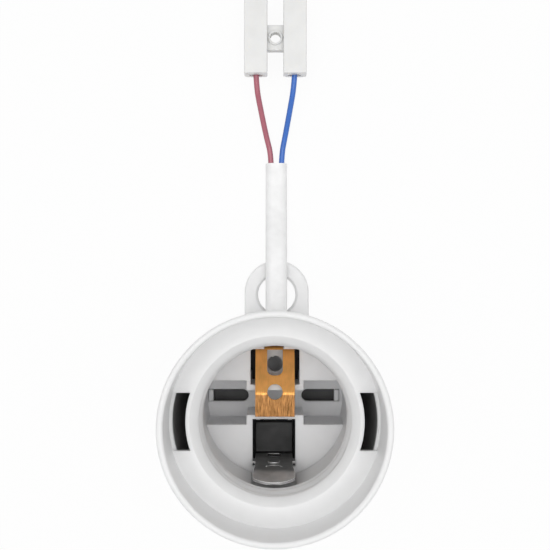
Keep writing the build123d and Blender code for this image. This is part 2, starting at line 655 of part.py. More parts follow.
def block_pole(x):
    """One pole: body around the clamp tube, rounded below, and two screw towers."""
    section = Pos(x, (POLE_BODY_Z + BLOCK_HEIGHT) / 2) * Rectangle(POLE_WIDTH, BLOCK_HEIGHT - POLE_BODY_Z)
    section = fillet(section.vertices().sort_by(Axis.Y)[:2], POLE_ROUND)
    section = fillet(section.vertices().sort_by(Axis.Y)[-2:], POLE_EDGE)
    pole = extrude(Plane.XZ.offset(-ENTRY_Y - BLOCK_LENGTH) * section, amount=BLOCK_LENGTH)
    for y in SCREW_YS.values():
        pole += rod(TOWER_R, x, y, 0, POLE_BODY_Z + POLE_ROUND)
    return pole


def terminal_block():
    """Two poles joined by a bridge with the fixing hole."""
    housing = block_pole(POLES["live"]) + block_pole(POLES["neutral"])
    housing += block(
        POLES["live"], POLES["neutral"],
        BLOCK_Y - BRIDGE_LENGTH / 2, BLOCK_Y + BRIDGE_LENGTH / 2, BRIDGE_TOP - BRIDGE_THICK, BRIDGE_TOP,
    )
    housing += rod(FIXING_R + COLLAR_WALL, BLOCK_X, BLOCK_Y, BRIDGE_TOP, BRIDGE_TOP + COLLAR_PROUD)
    housing -= rod(FIXING_R, BLOCK_X, BLOCK_Y, 0, BLOCK_HEIGHT)
    for x in POLES.values():
        housing -= rod_along_y(ENTRY_R, x, BORE_Z, ENTRY_Y, ENTRY_Y + BLOCK_LENGTH)
        housing -= rod_along_y(TUBE_R, x, BORE_Z, TUBE_START, TUBE_START + TUBE_LENGTH)
        for y in SCREW_YS.values():
            housing -= rod(TOWER_BORE_R, x, y, 0, BORE_Z)
    return housing


def main():
    parts = {
        "socket_body": socket_body(),
        "contact_carrier": contact_carrier(),
        "rear_cap": rear_cap(),
        "centre_contact": centre_contact(),
        "side_contact": side_contact(),
        "cord_clamp": cord_clamp(),
        "cable_sheath": cable_sheath(),
        "live_insulation": insulation("live"),
        "neutral_insulation": insulation("neutral"),
        "live_crimp": crimp(LIVE_X, LIVE_CRIMP_Y, LIVE_CRIMP_Z),
        "neutral_crimp": crimp(NEUTRAL_X, NEUTRAL_CRIMP_Y, NEUTRAL_CRIMP_Z),
        "live_contact_strands": contact_strands(LIVE_X, LIVE_CRIMP_Y, LIVE_CRIMP_Z),
        "neutral_contact_strands": contact_strands(NEUTRAL_X, NEUTRAL_CRIMP_Y, NEUTRAL_CRIMP_Z),
        "terminal_block": terminal_block(),
    }
    for pole, x in POLES.items():
        parts[f"{pole}_terminal_strands"] = terminal_strands(x)
        parts[f"{pole}_clamp_tube"] = clamp_tube(x)
        parts[f"{pole}_lead_screw"] = terminal_screw(x, SCREW_YS["lead"], CLAMPED_TIP_Z)
        parts[f"{pole}_supply_screw"] = terminal_screw(x, SCREW_YS["supply"], OPEN_TIP_Z)
    os.makedirs("parts", exist_ok=True)
    for name, shape in parts.items():
        export_step(shape, f"parts/{name}.step")


main()
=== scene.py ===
"""Looks of a pendant lamp holder with a short lead and a terminal block.

Metres, apart from the places and routes that are given in millimetres. The origin is on
the lamp's axis at the holder's flat back, +Z runs out of the mouth and +Y towards the
hanging eye and the lead. The camera looks straight down into the mouth.
"""

import json
import math

import bmesh
import bpy
from bpy.props import FloatProperty, FloatVectorProperty, PointerProperty
from mathutils import Matrix, Vector


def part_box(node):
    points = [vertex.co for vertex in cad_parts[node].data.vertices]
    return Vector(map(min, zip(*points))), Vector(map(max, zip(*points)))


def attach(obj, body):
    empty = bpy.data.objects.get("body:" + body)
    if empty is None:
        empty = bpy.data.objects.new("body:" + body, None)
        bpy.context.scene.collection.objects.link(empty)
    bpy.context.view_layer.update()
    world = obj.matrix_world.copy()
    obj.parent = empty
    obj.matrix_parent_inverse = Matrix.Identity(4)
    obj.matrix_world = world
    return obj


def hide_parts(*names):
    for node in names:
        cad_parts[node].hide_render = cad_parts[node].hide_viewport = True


bl_info = {
    "name": "Pendant lamp holder",
    "version": (1, 0, 0),
    "blender": (4, 5, 0),
    "location": "3D View > Sidebar > Lamp holder",
    "description": "Finishes, lead and stage for a lamp holder with a terminal block",
    "category": "Object",
}

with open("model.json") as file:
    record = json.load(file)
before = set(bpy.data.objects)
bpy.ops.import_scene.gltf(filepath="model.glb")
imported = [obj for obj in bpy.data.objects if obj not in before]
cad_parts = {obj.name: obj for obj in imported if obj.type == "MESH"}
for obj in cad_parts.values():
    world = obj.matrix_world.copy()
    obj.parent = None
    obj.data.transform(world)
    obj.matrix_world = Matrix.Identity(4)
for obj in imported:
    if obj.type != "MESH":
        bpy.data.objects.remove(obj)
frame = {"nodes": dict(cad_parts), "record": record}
MM = 0.001
MICRON = 0.000001
SHARP_ANGLE = math.radians(30)
MOUNTS = {mount["name"]: mount for mount in frame["record"]["mounts"]}

# In millimetres, the shell's wall, and how much its radius grows from back to rim
SHELL_WALL = 1.2
SHELL_TAPER = 2.0

# Painted shade on the insides of the body and the cap, which the real holder has in
# deep shade, in millimetres: lowest and highest place, radius of the core inside and
# nearest X. Then the share of the colour that is left there, and the height over which
# the painted shade fades in
BODY_PAINTED_SHADE = (0.0, 43.4, 14.5, 0.0)
BODY_PAINTED_SHADE_LEVEL = 0.25
CAP_PAINTED_SHADE = (1.9, 4.6, 0.0, 2.2)
CAP_PAINTED_SHADE_LEVEL = 0.07
PAINTED_SHADE_FADE = 1.0

# Painted shade on what the leaf hides and on the lower edge of its slot, in millimetres:
# where each starts in Y, its half width and its top. Then the share of the colour that
# is left there
LEAF_BACK_SHADE = (-10.0, 3.4, 40.0)
LEAF_BACK_SHADE_LEVEL = 0.04
LEAF_SLOT_SILL_SHADE = (-9.95, 1.4, 15.2)
LEAF_SLOT_SILL_SHADE_LEVEL = 0.05

# In millimetres, the strip's slope in Y and the leaf's height in Z, along which their
# finishes and their painted light and shade change
STRIP_SLOPE = (2.0, 2.9)
LEAF_HEIGHT = (12.0, 34.0)

# Roughness of the finishes
PLASTIC_ROUGHNESS = 0.42
WAX_ROUGHNESS = 0.38
STRIP_ROUGHNESS = 0.32
STEEL_ROUGHNESS = 0.42
PLATING_ROUGHNESS = 0.28
SHEATH_ROUGHNESS = 0.4
CORE_ROUGHNESS = 0.36

# How far from an edge the leaf's painted highlight reaches, and how finely edges are
# looked for
EDGE_HIGHLIGHT_REACH = 0.0002
BEVEL_SAMPLES = 6

# The lead's route in millimetres, from the contacts to the terminal block
SHEATH_X = 0.27
SHEATH_ROUTE = [(12.5, 4.2), (20.5, 4.2), (28.5, 4.6), (38.0, 1.75), (46.5, 1.35)]
LIVE_ROUTE = [
    (-0.73, 9.35, 9.3), (-0.73, 9.1, 7.6), (-0.73, 8.8, 5.7), (-0.73, 10.2, 4.2),
    (-0.73, 20.5, 4.2), (-0.73, 28.5, 4.6), (-0.73, 38.0, 1.75), (-0.73, 48.1, 1.28),
    (-1.7, 51.7, 2.0), (-2.8, 56.8, 4.1), (-3.68, 61.2, 6.1), (-3.755, 64.4, 6.5),
]
NEUTRAL_ROUTE = [
    (1.27, -5.1, 7.9), (1.27, -5.2, 5.8), (1.6, -3.9, 4.1), (2.25, 0.5, 3.6),
    (2.3, 5.5, 3.7), (1.8, 10.2, 4.2), (1.27, 20.5, 4.2), (1.27, 28.5, 4.6),
    (1.27, 38.0, 1.75), (1.27, 48.1, 1.28), (2.05, 52.0, 2.1), (2.95, 56.8, 4.3),
    (3.75, 61.2, 6.3), (3.915, 64.4, 6.5),
]

# The thread's wall: how far two points may lie apart to count as one or as level, the
# plain strip left at each end, and the shares of a pitch over which the thread runs out
# below and the bore opens out at the mouth
MERGE = 1e-6
LEVEL = 1e-5
SEAM = 0.00005
RUN_OUT = 0.25
OPENING = 0.4

# The side leaf's arm: a point on its inner face in millimetres, and how far it leans
ARM_FACE = (-0.2, -9.9, 20.3)
ARM_LEAN = math.radians(4.5)

# Pressed details on the arm: their size, how proud they are and their height up the arm
CATCH_WIDTH = 0.0022
CATCH_HEIGHT = 0.0026
CATCH_PROUD = 0.00018
CATCH_RISE = 0.0027
ARCH_RADIUS = 0.00145
ARCH_PROUD = 0.00013
ARCH_RISE = 0.0069
ARCH_END = math.radians(15)
ARCH_SWEEP = math.radians(150)

# The stage: lamps and the point that they face, the floor, and the picture's frame
LAMP_SIZE = 0.4
LAMP_AIM = Vector((0.0, 0.02, 0.03))
LAMP_PLACES = {
    "left": (-0.3, 0.0, 0.85),
    "right": (0.3, 0.0, 0.85),
    "lead_side": (0.0, 0.18, 0.85),
    "near_side": (0.0, -0.16, 0.85),
}
FLOOR_REACH = 1.5
FLOOR_DROP = 0.00005
FLOOR_COLOUR = (0.9, 0.9, 0.9)
FLOOR_ROUGHNESS = 0.9
FLOOR_GLOSS = 0.1
NEAR_CLIP, FAR_CLIP = 0.01, 10.0
SENSOR_WIDTH = 36.0
PICTURE_SIDE = 550.0
PICTURE_SHIFT = -5.0


class HolderSizes(bpy.types.PropertyGroup):
    """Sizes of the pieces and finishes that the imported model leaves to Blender."""

    edge_round: FloatProperty(
        name="Edge rounding",
        description="Radius that the mouldings' edges look rounded to",
        default=0.00018, min=0.0, unit="LENGTH",
    )
    sheath_width: FloatProperty(
        name="Sheath width", description="Across the flat lead",
        default=0.0043, unit="LENGTH",
    )
    sheath_height: FloatProperty(
        name="Sheath height", description="Through the flat lead",
        default=0.0027, unit="LENGTH",
    )
    core_diameter: FloatProperty(
        name="Core diameter", description="Across one insulated core",
        default=0.0011, unit="LENGTH",
    )
    thread_pitch: FloatProperty(
        name="Thread pitch", description="From one crest of the thread to the next",
        default=0.003629, unit="LENGTH",
    )
    thread_depth: FloatProperty(
        name="Thread depth", description="From crest to root",
        default=0.0009, unit="LENGTH",
    )
    thread_lead_in: FloatProperty(
        name="Thread lead-in", description="How far the bore opens out at the mouth",
        default=0.0004, unit="LENGTH",
    )
    thread_start: FloatProperty(
        name="Thread start", description="Height of a crest on the leaf's side",
        default=0.0391, unit="LENGTH",
    )


class HolderColours(bpy.types.PropertyGroup):
    """Base colours of the finishes."""

    body: FloatVectorProperty(
        name="Body", description="White moulded body and cap",
        subtype="COLOR", default=(0.9, 0.9, 0.9),
    )
    carrier: FloatVectorProperty(
        name="Carrier", description="Greyer moulding that holds the contacts",
        subtype="COLOR", default=(0.93, 0.93, 0.94),
    )
    copper: FloatVectorProperty(
        name="Copper strip", description="Rolled copper alloy of the centre contact",
        subtype="COLOR", default=(0.86, 0.42, 0.12),
    )
    leaf: FloatVectorProperty(
        name="Side leaf", description="Dark spring steel of the side contact",
        subtype="COLOR", default=(0.2, 0.2, 0.2),
    )
    sheath: FloatVectorProperty(
        name="Sheath", description="White sheath of the flat lead",
        subtype="COLOR", default=(0.94, 0.94, 0.94),
    )
    live: FloatVectorProperty(
        name="Live core", description="Brown-red insulation",
        subtype="COLOR", default=(0.43, 0.13, 0.17),
    )
    neutral: FloatVectorProperty(
        name="Neutral core", description="Blue insulation",
        subtype="COLOR", default=(0.045, 0.16, 0.56),
    )
    block: FloatVectorProperty(
        name="Terminal block", description="Waxy pale plastic of the terminal block",
        subtype="COLOR", default=(0.8, 0.8, 0.79),
    )
    brass: FloatVectorProperty(
        name="Brass", description="Clamp tubes in the block",
        subtype="COLOR", default=(0.78, 0.57, 0.25),
    )
    steel: FloatVectorProperty(
        name="Plated steel", description="Screws and crimp sleeves",
        subtype="COLOR", default=(0.62, 0.62, 0.6),
    )
    strands: FloatVectorProperty(
        name="Bare strands", description="Stripped copper ends of the cores",
        subtype="COLOR", default=(0.72, 0.36, 0.2),
    )


class StageSettings(bpy.types.PropertyGroup):
    """Camera, lamps and floor."""

    camera_height: FloatProperty(
        name="Camera height", description="Above the surface that the holder lies on",
        default=0.2378, unit="LENGTH",
    )
    camera_forward: FloatProperty(
        name="Camera forward", description="From the lamp's axis towards the lead",
        default=0.02506, unit="LENGTH",
    )
    focal_length: FloatProperty(
        name="Focal length", description="For a sensor 36 mm wide",
        default=76.58, unit="CAMERA",
    )
    sky_level: FloatProperty(
        name="Sky level", description="Even light from all round",
        default=0.42, min=0.0, max=1.0,
    )
    left_power: FloatProperty(
        name="Left lamp", description="Soft lamp on the left",
        default=1.15, min=0.0, unit="POWER",
    )
    right_power: FloatProperty(
        name="Right lamp", description="Soft lamp on the right",
        default=1.0, min=0.0, unit="POWER",
    )
    lead_side_power: FloatProperty(
        name="Lead side lamp", description="Soft lamp above the lead's end",
        default=1.3, min=0.0, unit="POWER",
    )
    near_side_power: FloatProperty(
        name="Near side lamp", description="Soft lamp on the side away from the lead",
        default=0.95, min=0.0, unit="POWER",
    )
    floor_white: FloatProperty(
        name="White floor",
        description="Share of plain white that the camera sees in the floor",
        default=0.93, min=0.0, max=1.0,
    )


def new_material(name, colour, roughness, metallic=0.0):
    """A material and its node tree, with the plain values on its shader."""
    made = bpy.data.materials.new(name)
    made.use_nodes = True
    shader = made.node_tree.nodes["Principled BSDF"]
    shader.inputs["Base Color"].default_value = (*colour, 1.0)
    shader.inputs["Roughness"].default_value = roughness
    shader.inputs["Metallic"].default_value = metallic
    return made, made.node_tree, shader


def noise(tree, grain, detail=2.0, stretch=(1.0, 1.0, 1.0)):
    """A noise pattern with grains in millimetres, drawn out along axes by stretch."""
    place = tree.nodes.new("ShaderNodeTexCoord")
    mapping = tree.nodes.new("ShaderNodeMapping")
    scale = [1.0 / (grain * MM * share) for share in stretch]
    mapping.inputs["Scale"].default_value = scale
    pattern = tree.nodes.new("ShaderNodeTexNoise")
    pattern.inputs["Scale"].default_value = 1.0
    pattern.inputs["Detail"].default_value = detail
    tree.links.new(place.outputs["Object"], mapping.inputs["Vector"])
    tree.links.new(mapping.outputs["Vector"], pattern.inputs["Vector"])
    return pattern.outputs["Fac"]


def between(tree, pattern, low, high, start=0.3, end=0.7):
    """A number that goes from low to high with a pattern."""
    scaled = tree.nodes.new("ShaderNodeMapRange")
    ranges = {"From Min": start, "From Max": end, "To Min": low, "To Max": high}
    for name, value in ranges.items():
        scaled.inputs[name].default_value = value
    tree.links.new(pattern, scaled.inputs["Value"])
    return scaled.outputs["Result"]


def chosen(tree, share, without, with_it):
    """A number that goes from one value to another as a share goes from 0 to 1."""
    return between(tree, share, without, with_it, 0.0, 1.0)


def shades(tree, pattern, *stops):
    """A colour that follows a pattern through (place, colour) stops."""
    ramp = tree.nodes.new("ShaderNodeValToRGB")
    while len(ramp.color_ramp.elements) < len(stops):
        ramp.color_ramp.elements.new(0.5)
    for element, (place, colour) in zip(ramp.color_ramp.elements, stops):
        element.position = place
        element.color = (*colour, 1.0)
    tree.links.new(pattern, ramp.inputs["Fac"])
    return ramp.outputs["Color"]


def times(colour, level):
    """A colour made lighter or darker."""
    return tuple(min(1.0, channel * level) for channel in colour)


def two_tones(tree, pattern, colour, dark, light):
    """A colour that wanders with a pattern between a darker and a lighter tone."""
    tones = (0.3, times(colour, dark)), (0.7, times(colour, light))
    return shades(tree, pattern, *tones)


def places(tree):
    """The three Object coordinates of a surface."""
    place = tree.nodes.new("ShaderNodeTexCoord")
    parts = tree.nodes.new("ShaderNodeSeparateXYZ")
    tree.links.new(place.outputs["Object"], parts.inputs["Vector"])
    return [parts.outputs[axis] for axis in "XYZ"]


def along(tree, axis, start, end):
    """A number that goes from 0 to 1 between two places on an axis, in millimetres."""
    place = places(tree)["XYZ".index(axis)]
    return between(tree, place, 0.0, 1.0, start * MM, end * MM)


def worked(tree, operation, first, second=0.0):
    """One number worked out from two, each a socket or a plain value."""
    node = tree.nodes.new("ShaderNodeMath")
    node.operation = operation
    for socket, value in zip(node.inputs, (first, second)):
        if isinstance(value, (int, float)):
            socket.default_value = value
        else:
            tree.links.new(value, socket)
    return node.outputs["Value"]


def all_of(tree, *marks):
    """1 where every one of some marks is 1."""
    total = marks[0]
    for mark in marks[1:]:
        total = worked(tree, "MULTIPLY", total, mark)
    return total


def tinted(tree, colour, level):
    """A colour made lighter or darker by a pattern."""
    scaled = tree.nodes.new("ShaderNodeVectorMath")
    scaled.operation = "SCALE"
    tree.links.new(colour, scaled.inputs[0])
    tree.links.new(level, scaled.inputs["Scale"])
    return scaled.outputs["Vector"]


def softened_edges(tree, reach):
    """The surface's normal with its edges rounded over a reach."""
    soft = tree.nodes.new("ShaderNodeBevel")
    soft.samples = BEVEL_SAMPLES
    soft.inputs["Radius"].default_value = reach
    return soft.outputs["Normal"]


def relief(tree, shader, *layers, edge=0.0):
    """Bumps of (pattern, height in metres), one on another, on softened edges."""
    normal = softened_edges(tree, edge) if edge else None
    for pattern, height in layers:
        bump = tree.nodes.new("ShaderNodeBump")
        bump.inputs["Distance"].default_value = height
        tree.links.new(pattern, bump.inputs["Height"])
        if normal:
            tree.links.new(normal, bump.inputs["Normal"])
        normal = bump.outputs["Normal"]
    tree.links.new(normal, shader.inputs["Normal"])


def let_light_in(shader, weight, colour, depth):
    """Lets a plastic scatter light under its surface."""
    shader.inputs["Subsurface Weight"].default_value = weight
    shader.inputs["Subsurface Radius"].default_value = colour
    shader.inputs["Subsurface Scale"].default_value = depth


def painted_shade_behind_leaf(tree, back, reach, top):
    """Where painted shade goes: 1 near the middle plane, beyond a place in Y and lower
    than a height.
    """
    x, y, z = places(tree)
    return all_of(
        tree,
        worked(tree, "LESS_THAN", worked(tree, "ABSOLUTE", x), reach * MM),
        worked(tree, "LESS_THAN", y, back * MM),
        worked(tree, "LESS_THAN", z, top * MM),
    )


def painted_shade_in_shell(tree, low, high, core, middle):
    """Where painted shade goes: 1 in the tapered shell, by height, outside a core and off
    the middle plane.
    """
    x, y, z = places(tree)
    squares = [worked(tree, "MULTIPLY", side, side) for side in (x, y)]
    radius = worked(tree, "SQRT", worked(tree, "ADD", *squares))
    rim_radius, _, rim_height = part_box("socket_body")[1]
    below_rim = worked(tree, "SUBTRACT", rim_height, z)
    narrowed = worked(tree, "MULTIPLY", below_rim, SHELL_TAPER * MM / rim_height)
    radius_at_rim = worked(tree, "ADD", radius, narrowed)
    return all_of(
        tree,
        worked(tree, "LESS_THAN", radius_at_rim, rim_radius - SHELL_WALL * MM / 2),
        worked(tree, "GREATER_THAN", radius, core * MM),
        worked(tree, "GREATER_THAN", z, low * MM),
        worked(tree, "GREATER_THAN", worked(tree, "ABSOLUTE", x), middle * MM),
        between(tree, z, 1.0, 0.0, (high - PAINTED_SHADE_FADE) * MM, high * MM),
    )


def moulded_plastic(name, colour, edge, painted_shade_place, sizes, level):
    """Satin plastic: fine grain, faint flow clouds, rounded edges and painted shade in a
    given place.
    """
    made, tree, shader = new_material(name, colour, PLASTIC_ROUGHNESS)
    let_light_in(shader, weight=0.6, colour=(1.0, 1.0, 1.0), depth=0.004)
    clouds = noise(tree, grain=4.0, detail=3.0)
    grain = noise(tree, grain=0.22)
    ripple = noise(tree, grain=1.6, detail=1.0)
    # Painted shade: the colour drops to a level where the place's mask is 1
    dark = chosen(tree, painted_shade_place(tree, *sizes), 1.0, level)
    finish = tinted(tree, two_tones(tree, clouds, colour, dark=0.98, light=1.012), dark)
    gloss = between(tree, clouds, PLASTIC_ROUGHNESS - 0.05, PLASTIC_ROUGHNESS + 0.06)
    tree.links.new(finish, shader.inputs["Base Color"])
    tree.links.new(gloss, shader.inputs["Roughness"])
    relief(tree, shader, (ripple, 12 * MICRON), (grain, 6 * MICRON), edge=edge)
    return made


def waxy_plastic(name, colour, edge):
    """Soft waxy block plastic that light enters a little."""
    made, tree, shader = new_material(name, colour, WAX_ROUGHNESS)
    let_light_in(shader, weight=0.3, colour=(1.0, 0.95, 0.85), depth=0.0015)
    clouds = noise(tree, grain=3.0, detail=3.0)
    grain = noise(tree, grain=0.3)
    finish = two_tones(tree, clouds, colour, dark=0.97, light=1.02)
    tree.links.new(finish, shader.inputs["Base Color"])
    relief(tree, shader, (grain, 6 * MICRON), edge=edge)
    return made


def rolled_strip(name, colour, edge):
    """Copper alloy strip: smooth slope painted lighter, bright bend and a matt, scratched
    end painted darker.
    """
    made, tree, shader = new_material(name, colour, STRIP_ROUGHNESS, metallic=1.0)
    lines = noise(tree, grain=0.1, detail=5.0, stretch=(1.0, 16.0, 10.0))
    patches = noise(tree, grain=2.2, detail=4.0)
    pits = noise(tree, grain=0.28, detail=3.0)
    slope = along(tree, "Y", *STRIP_SLOPE)
    # Below the bend the strip is painted darker, painted shade over its matt, scratched
    # finish; the slope above is painted lighter
    dull_and_shaded = (colour[0] * 0.3, colour[1] * 0.3, colour[2] * 0.38)
    finish = shades(
        tree, slope,
        (0.0, dull_and_shaded), (0.35, times(colour, 0.85)), (0.6, times(colour, 1.12)),
    )
    scratched = between(tree, lines, low=0.45, high=1.5, start=0.36, end=0.64)
    smooth = between(tree, lines, low=0.93, high=1.05)
    wear = tree.nodes.new("ShaderNodeMix")
    for socket, value in zip(wear.inputs[2:4], (scratched, smooth)):
        tree.links.new(value, socket)
    tree.links.new(slope, wear.inputs[0])
    dirt = between(tree, patches, low=0.88, high=1.08)
    level = worked(tree, "MULTIPLY", dirt, wear.outputs[0])
    pitted = between(tree, pits, low=0.2, high=0.36)
    gloss = worked(tree, "ADD", pitted, chosen(tree, slope, 0.16, 0.14))
    tree.links.new(tinted(tree, finish, level), shader.inputs["Base Color"])
    tree.links.new(chosen(tree, slope, 1.0, 0.55), shader.inputs["Metallic"])
    tree.links.new(gloss, shader.inputs["Roughness"])
    relief(tree, shader, (lines, 12 * MICRON), (pits, 8 * MICRON), edge=edge)
    return made


def painted_edge_highlights(tree, reach):
    """1 on edges and tight bends, where a highlight is painted, 0 on flat faces."""
    surface = tree.nodes.new("ShaderNodeNewGeometry")
    match = tree.nodes.new("ShaderNodeVectorMath")
    match.operation = "DOT_PRODUCT"
    tree.links.new(softened_edges(tree, reach), match.inputs[0])
    tree.links.new(surface.outputs["Normal"], match.inputs[1])
    likeness = match.outputs["Value"]
    return between(tree, likeness, low=1.0, high=0.0, start=0.86, end=0.99)


def spring_steel(name, colour, edge):
    """Dark spring steel with painted reflections, nearly black on its flat foot and
    bright at the tip, with painted highlights at its edges.
    """
    made, tree, shader = new_material(name, colour, STEEL_ROUGHNESS, metallic=0.75)
    patches = noise(tree, grain=3.0, detail=3.0)
    lines = noise(tree, grain=0.12, stretch=(20.0, 1.0, 1.0))
    # Painted reflections along the height: the flat foot painted nearly black, the curved
    # tip painted bright
    finish = shades(
        tree, along(tree, "Z", *LEAF_HEIGHT),
        (0.1, times(colour, 0.1)), (0.14, times(colour, 1.1)),
        (0.76, times(colour, 1.2)), (0.85, times(colour, 2.6)),
    )
    # Painted highlights along the leaf's edges and bends
    edge_highlight = chosen(tree, painted_edge_highlights(tree, EDGE_HIGHLIGHT_REACH), 0.0, 2.2)
    # Painted shade on the lower edge of the leaf's slot
    sill_shade = chosen(tree, painted_shade_behind_leaf(tree, *LEAF_SLOT_SILL_SHADE), 1.0, LEAF_SLOT_SILL_SHADE_LEVEL)
    mottled = between(tree, patches, low=0.8, high=1.2)
    level = worked(tree, "MULTIPLY", worked(tree, "ADD", mottled, edge_highlight), sill_shade)
    tree.links.new(tinted(tree, finish, level), shader.inputs["Base Color"])
    gloss = between(tree, lines, low=0.36, high=0.52)
    tree.links.new(gloss, shader.inputs["Roughness"])
    relief(tree, shader, (lines, 5 * MICRON), edge=edge)
    return made


def plated_metal(name, colour, edge):
    """Turned or pressed metal with a thin bright plating."""
    made, tree, shader = new_material(name, colour, PLATING_ROUGHNESS, metallic=1.0)
    patches = noise(tree, grain=1.2, detail=3.0)
    lines = noise(tree, grain=0.12, stretch=(1.0, 1.0, 8.0))
    finish = two_tones(tree, patches, colour, dark=0.85, light=1.1)
    tree.links.new(finish, shader.inputs["Base Color"])
    gloss = between(tree, lines, low=0.2, high=0.38)
    tree.links.new(gloss, shader.inputs["Roughness"])
    relief(tree, shader, (lines, 5 * MICRON), edge=edge)
    return made


def extruded_cover(name, colour, roughness):
    """Extruded cable cover: faint draw lines along the lead and an uneven skin."""
    made, tree, shader = new_material(name, colour, roughness)
    lines = noise(tree, grain=0.12, stretch=(1.0, 40.0, 1.0))
    waves = noise(tree, grain=1.8)
    finish = two_tones(tree, waves, colour, dark=0.96, light=1.03)
    gloss = between(tree, lines, roughness - 0.06, roughness + 0.08)
    tree.links.new(finish, shader.inputs["Base Color"])
    tree.links.new(gloss, shader.inputs["Roughness"])
    relief(tree, shader, (lines, 8 * MICRON), (waves, 12 * MICRON))
    return made


def smoothed(mesh):
    """Smooth faces, with creases only where the shape turns sharply."""
    mesh.shade_smooth()
    mesh.set_sharp_from_angle(angle=SHARP_ANGLE)


def coat(material, *names):
    """Gives CAD nodes a material."""
    for name in names:
        mesh = frame["nodes"][name].data
        mesh.materials.clear()
        mesh.materials.append(material)
        smoothed(mesh)


def new_piece(name, shape, material, body):
    """A finished piece from a bmesh, with its material and body."""
    mesh = bpy.data.meshes.new(name)
    shape.to_mesh(mesh)
    shape.free()
    mesh.materials.append(material)
    packed_normals = mesh.attributes.get("custom_normal")
    if packed_normals:
        mesh.attributes.remove(packed_normals)
    smoothed(mesh)
    piece = bpy.data.objects.new(name, mesh)
    bpy.context.scene.collection.objects.link(piece)
    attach(piece, body)
    return piece


def ring_edges(edges, height):
    """The open edges that lie at one height."""
    return [
        edge for edge in edges
        if edge.is_boundary
        and all(abs(vert.co.z - height) < LEVEL for vert in edge.verts)
    ]


def thread_radius(angle, z, low, high, crest, sizes):
    """The round thread's radius, which runs out below and opens out at the mouth."""
    from_leaf = (angle + math.pi / 2) / math.tau
    turn = (z - sizes.thread_start) / sizes.thread_pitch - from_leaf
    thread = crest + sizes.thread_depth * (1.0 - math.cos(math.tau * turn)) / 2
    fade = min(1.0, (z - low) / (RUN_OUT * sizes.thread_pitch))
    thread = crest + fade * fade * (3.0 - 2.0 * fade) * (thread - crest)
    opening = max(0.0, 1.0 - (high - z) / (OPENING * sizes.thread_pitch))
    return thread + opening * (crest + sizes.thread_lead_in - thread)


def threaded_wall(low, high, crest, sizes, steps=180, rows=48):
    """The bore's wall, turned as a plain ring and then pressed out into the thread."""
    shape = bmesh.new()
    heights = [low + (high - low) * row / rows for row in range(rows + 1)]
    verts = [shape.verts.new((crest, 0.0, height)) for height in heights]
    edges = [shape.edges.new(pair) for pair in zip(verts, verts[1:])]
    bmesh.ops.spin(
        shape, geom=verts + edges, axis=(0.0, 0.0, 1.0), angle=math.tau, steps=steps,
        use_merge=True,
    )
    for vert in shape.verts:
        x, y, z = vert.co
        radius = thread_radius(math.atan2(y, x), z, low, high, crest, sizes)
        vert.co.xy = vert.co.xy.normalized() * radius
    mesh = bpy.data.meshes.new("threaded wall")
    shape.to_mesh(mesh)
    shape.free()
    return mesh


def threaded_body(sizes):
    """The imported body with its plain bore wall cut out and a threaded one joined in."""
    crest = MOUNTS["lamp_thread"]["dims"]["r_mm"] * MM
    shape = bmesh.new()
    shape.from_mesh(frame["nodes"]["socket_body"].data)
    bmesh.ops.remove_doubles(shape, verts=shape.verts, dist=MERGE)
    bore = [
        face for face in shape.faces
        if all(abs(vert.co.xy.length - crest) < LEVEL for vert in face.verts)
    ]
    heights = [vert.co.z for face in bore for vert in face.verts]
    low, high = min(heights), max(heights)
    bmesh.ops.delete(shape, geom=bore, context="FACES")
    for vert in shape.verts:
        if abs(vert.co.z - high) < LEVEL and abs(vert.co.xy.length - crest) < LEVEL:
            vert.co.xy *= 1.0 + sizes.thread_lead_in / crest
    wall = threaded_wall(low + SEAM, high - SEAM, crest, sizes)
    shape.from_mesh(wall)
    bpy.data.meshes.remove(wall)
    for outer, inner in ((low, low + SEAM), (high, high - SEAM)):
        rings = ring_edges(shape.edges, outer) + ring_edges(shape.edges, inner)
        bmesh.ops.bridge_loops(shape, edges=rings)
    bmesh.ops.recalc_face_normals(shape, faces=shape.faces)
    return shape


def on_arm(shape, rise):
    """Lays a shape made flat on XY against the leaf's arm, a height above its neck."""
    x, y, z = (value * MM for value in ARM_FACE)
    lay = Matrix.Rotation(ARM_LEAN - math.pi / 2, 4, "X")
    place = Matrix.Translation((x, y - rise * math.tan(ARM_LEAN), z + rise))
    bmesh.ops.transform(shape, matrix=place @ lay, verts=shape.verts)
    return shape


def pressed_catch(width, height, proud):
    """A rounded rectangular rim, raised from the sheet with its middle pressed back."""
    corner, rim_width = 0.3 * height, 0.2 * height
    dip, edge_round = 0.8 * proud, 0.3 * proud
    shape = bmesh.new()
    bmesh.ops.create_grid(shape, x_segments=1, y_segments=1, size=0.5)
    bmesh.ops.scale(shape, vec=(width, height, 1.0), verts=shape.verts)
    bmesh.ops.bevel(
        shape, geom=shape.verts[:], offset=corner, segments=5, profile=0.5,
        affect="VERTICES", material=-1,
    )
    bmesh.ops.translate(shape, vec=(0.0, 0.0, -proud), verts=shape.verts)
    raised = bmesh.ops.extrude_face_region(shape, geom=shape.faces[:])["geom"]
    top = [vert for vert in raised if isinstance(vert, bmesh.types.BMVert)]
    bmesh.ops.translate(shape, vec=(0.0, 0.0, 2 * proud), verts=top)
    face = [face for face in raised if isinstance(face, bmesh.types.BMFace)]
    rim = bmesh.ops.inset_region(shape, faces=face, thickness=rim_width)["faces"]
    bmesh.ops.translate(shape, vec=(0.0, 0.0, -dip), verts=face[0].verts)
    crest = {
        edge for face in rim for edge in face.edges
        if edge.calc_face_angle(0.0) > SHARP_ANGLE
    }
    bmesh.ops.bevel(
        shape, geom=list(crest), offset=edge_round, segments=2, profile=0.5,
        affect="EDGES", material=-1,
    )
    bmesh.ops.recalc_face_normals(shape, faces=shape.faces)
    return shape


